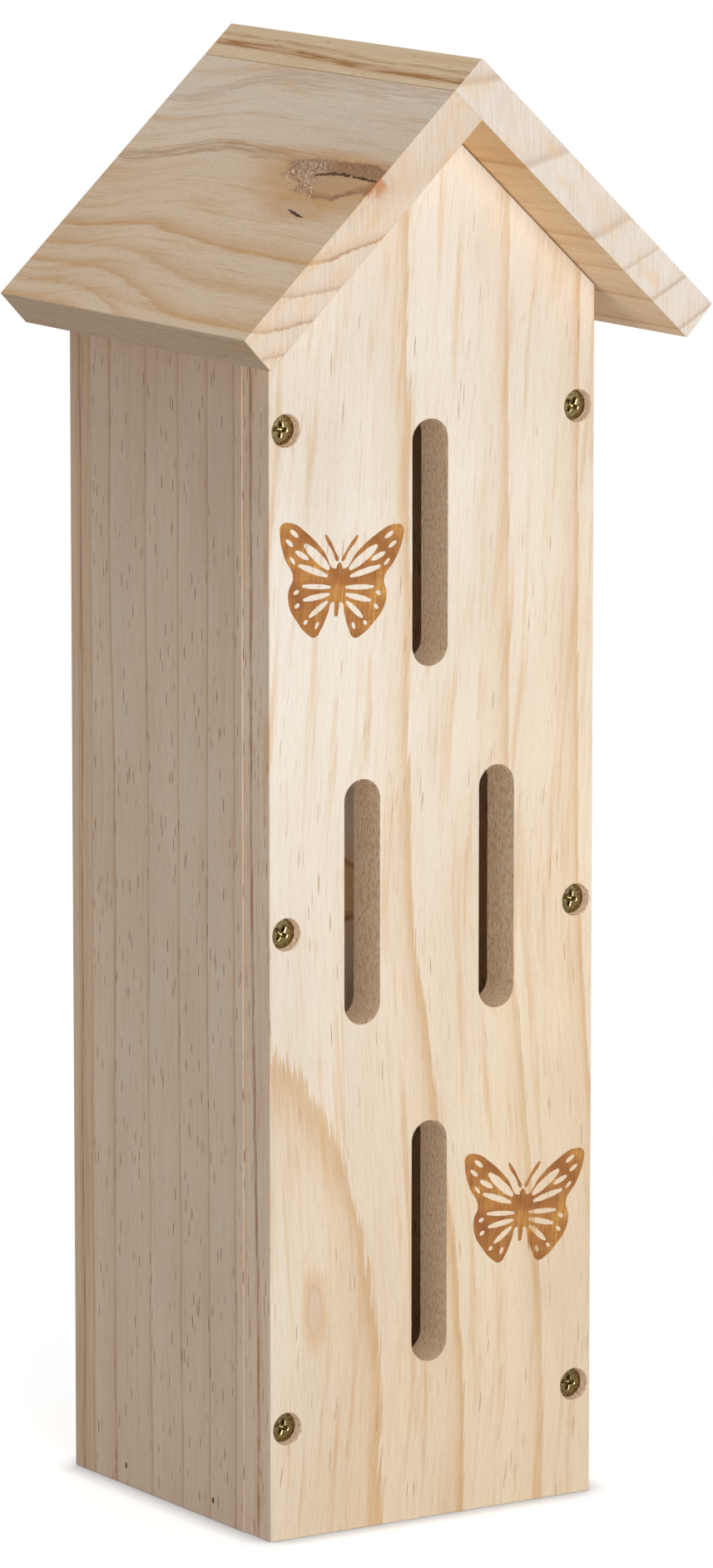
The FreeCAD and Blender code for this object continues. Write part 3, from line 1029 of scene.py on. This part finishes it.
# Strips of bark, by points of (slope, along, half width): the knot's crack in two pieces, and a bit below it
BARK_ROUTES = (
    ((44.3, -31, 0.05), (43.4, -36, 0.5), (42.7, -42, 0.45), (42.9, -47, 0.3)),
    ((42.9, -47.6, 0.2), (43.0, -52, 0.45), (43.1, -56, 0.35), (43.4, -59.8, 0.15)),
    ((56.2, -32.6, 0.1), (57.3, -37, 0.4), (58.1, -42, 0.1)),
)
BARK_TOP_MM = 0.05
BARK_ROOT_MM = -0.2
BARK_STEPS = 6


def add_strip(bm, route, chance):
    """A ragged strip of bark on the left roof, along route points of (slope, along, half width)."""
    loops = []
    for (s0, y0, w0), (s1, y1, w1) in zip(route, route[1:]):
        for step in range(BARK_STEPS):
            share = step / BARK_STEPS
            middle = s0 + (s1 - s0) * share + chance.uniform(-0.15, 0.15)
            along = y0 + (y1 - y0) * share
            half = (w0 + (w1 - w0) * share) * chance.uniform(0.5, 1.3) + 0.05
            upper, lower = middle - half, middle + half
            corners = (
                (upper, BARK_TOP_MM), (lower, BARK_TOP_MM), (lower, BARK_ROOT_MM), (upper, BARK_ROOT_MM))
            loops.append([bm.verts.new(roof_point(slope, along, lift)) for slope, lift in corners])
    for first, second in zip(loops, loops[1:]):
        skin(bm, first, second)
    bm.faces.new(loops[0])
    bm.faces.new(loops[-1])


def add_knot_bark():
    """Bark in the crack of the left roof's knot, and a short piece of it below."""
    bm = bmesh.new()
    chance = random.Random(5)
    for route in BARK_ROUTES:
        add_strip(bm, route, chance)
    add(bpy.data.objects.new("knot_bark", mesh_of(bm, "knot_bark", bark())), "house")


def add_knot_fibres():
    """Torn fibres standing up at the back end of the left roof's knot."""
    bm = bmesh.new()
    chance = random.Random(8)
    for _ in range(KNOT_FIBRES):
        along = chance.uniform(*TORN_ALONG_MM)
        share = (along - KNOT_ALONG_MM) / KNOT_HALF_LENGTH_MM
        lowest = KNOT_SLOPE_MM + KNOT_HALF_WIDTH_MM * math.sqrt(1 - share ** 2)
        slope = chance.uniform(TORN_SLOPE_MM, lowest)
        turn = chance.uniform(-1.2, 1.2)
        reach = chance.uniform(0.4, 1.1)
        root = roof_point(slope, along, -0.1)
        lift = chance.uniform(0.05, 0.4)
        tip = roof_point(slope + reach * math.sin(turn), along + reach * math.cos(turn), lift)
        add_sliver(bm, root, tip, chance.uniform(0.1, 0.3) * MM, RIGHT)
    add(bpy.data.objects.new("knot_fibres", mesh_of(bm, "knot_fibres", torn_wood())), "house")


# The studio, in metres: past the shadow the floor goes from paper to plain white
FLOOR_RADIUS = 1.1
SHADOW_ENDS = (0.12, 0.5)
# How far the painted contact shadow reaches
CONTACT_SHADOW_REACH = 0.009
FLOOR_GLOW = 0.55
PAPER = (0.85, 0.85, 0.85, 1.0)


def add_floor():
    """A pale round floor that shows the camera white, with the house's soft shadow and a painted contact
    shadow close round its base.
    """
    bm = bmesh.new()
    bmesh.ops.create_circle(bm, cap_ends=True, radius=FLOOR_RADIUS, segments=96)
    mesh = bpy.data.meshes.new("studio_floor")
    bm.to_mesh(mesh)
    bm.free()
    floor = bpy.data.objects.new("studio_floor", mesh)
    floor.location.z = cad_box[0].z
    bpy.context.scene.collection.objects.link(floor)
    s = Shader("studio_floor_looks")
    distance = s.length(s.node("TexCoord", {}, "Object"))
    seen = s.node("LightPath", {}, "Is Camera Ray")
    paper = s.node("BsdfDiffuse", {"Color": PAPER})
    lift = s.node("Emission", {"Color": WHITE, "Strength": FLOOR_GLOW})
    lifted = s.node("AddShader", {0: paper, 1: lift})
    white = s.node("Emission", {"Color": WHITE, "Strength": 1.0})
    shown = s.node("MixShader", {0: s.rise(distance, *SHADOW_ENDS), 1: lifted, 2: white})
    # Painted contact shadow: ambient occlusion darkens what the camera sees close to the house
    contact_shadow = s.node("AmbientOcclusion", {"Distance": CONTACT_SHADOW_REACH}, "AO")
    darkened = s.node("MixShader", {0: contact_shadow, 2: shown})
    s.node("OutputMaterial", {"Surface": s.node("MixShader", {0: seen, 1: paper, 2: darkened})})
    mesh.materials.append(s.material)


def light_world(ambient):
    """Even light from all round, and plain white wherever it is seen or mirrored."""
    world = bpy.data.worlds.new("studio")
    bpy.context.scene.world = world
    n = Nodes(world)
    rays = n.tree.nodes.new("ShaderNodeLightPath").outputs
    mirrored_too = n.math("MAXIMUM", rays["Is Glossy Ray"], rays["Is Transmission Ray"])
    shown = n.math("MAXIMUM", rays["Is Camera Ray"], mirrored_too)
    strength = n.node("MapRange", {"Value": shown, "To Min": ambient})
    background = n.node("Background", {"Color": WHITE, "Strength": strength})
    n.node("OutputWorld", {"Surface": background})


def add_sun(name, toward, strength, softness):
    """A broad lamp, far off in that direction."""
    lamp = bpy.data.lights.new(name, "SUN")
    lamp.energy = strength * math.pi
    lamp.angle = math.radians(softness)
    sun = bpy.data.objects.new(name, lamp)
    sun.rotation_euler = Vector(toward).to_track_quat("Z", "Y").to_euler()
    bpy.context.scene.collection.objects.link(sun)


def add_camera():
    """The photograph's view: from the left front and a little above, from far off with a long lens."""
    yaw = math.radians(32.85)
    pitch = math.radians(9.99)
    away = Vector((-math.sin(yaw) * math.cos(pitch), -math.cos(yaw) * math.cos(pitch), math.sin(pitch)))
    aim = Vector((0.0002, -0.0007, 0.1897))
    distance = 2.342
    lens = bpy.data.cameras.new("camera")
    lens.lens = 205.0
    lens.sensor_width = 36
    camera = bpy.data.objects.new("camera", lens)
    camera.location = aim + away * distance
    camera.rotation_euler = (-away).to_track_quat("-Z", "Y").to_euler()
    bpy.context.scene.collection.objects.link(camera)
    bpy.context.scene.camera = camera


dress_front()
dress_back()
dress_side("left", out=-RIGHT, pith=(-130, -200), seed=3)
dress_side("right", out=RIGHT, pith=(100, -180), seed=4)
dress_floor_board()
dress_left_roof()
dress_right_roof()
dress_nails()
add_screws()
add_screw_seats()
add_marks()
add_slot_fibres()
add_knot_bark()
add_knot_fibres()
add_floor()
light_world(ambient=0.1)
add_sun("key_light", toward=(-0.2, -0.97, 0.08), strength=0.78, softness=34)
add_sun("top_light", toward=(-0.1, -0.1, 1.0), strength=0.38, softness=60)
add_sun("back_light", toward=(0.65, 0.74, 0.15), strength=0.35, softness=60)
add_camera()
bpy.context.scene.view_settings.view_transform = "Standard"
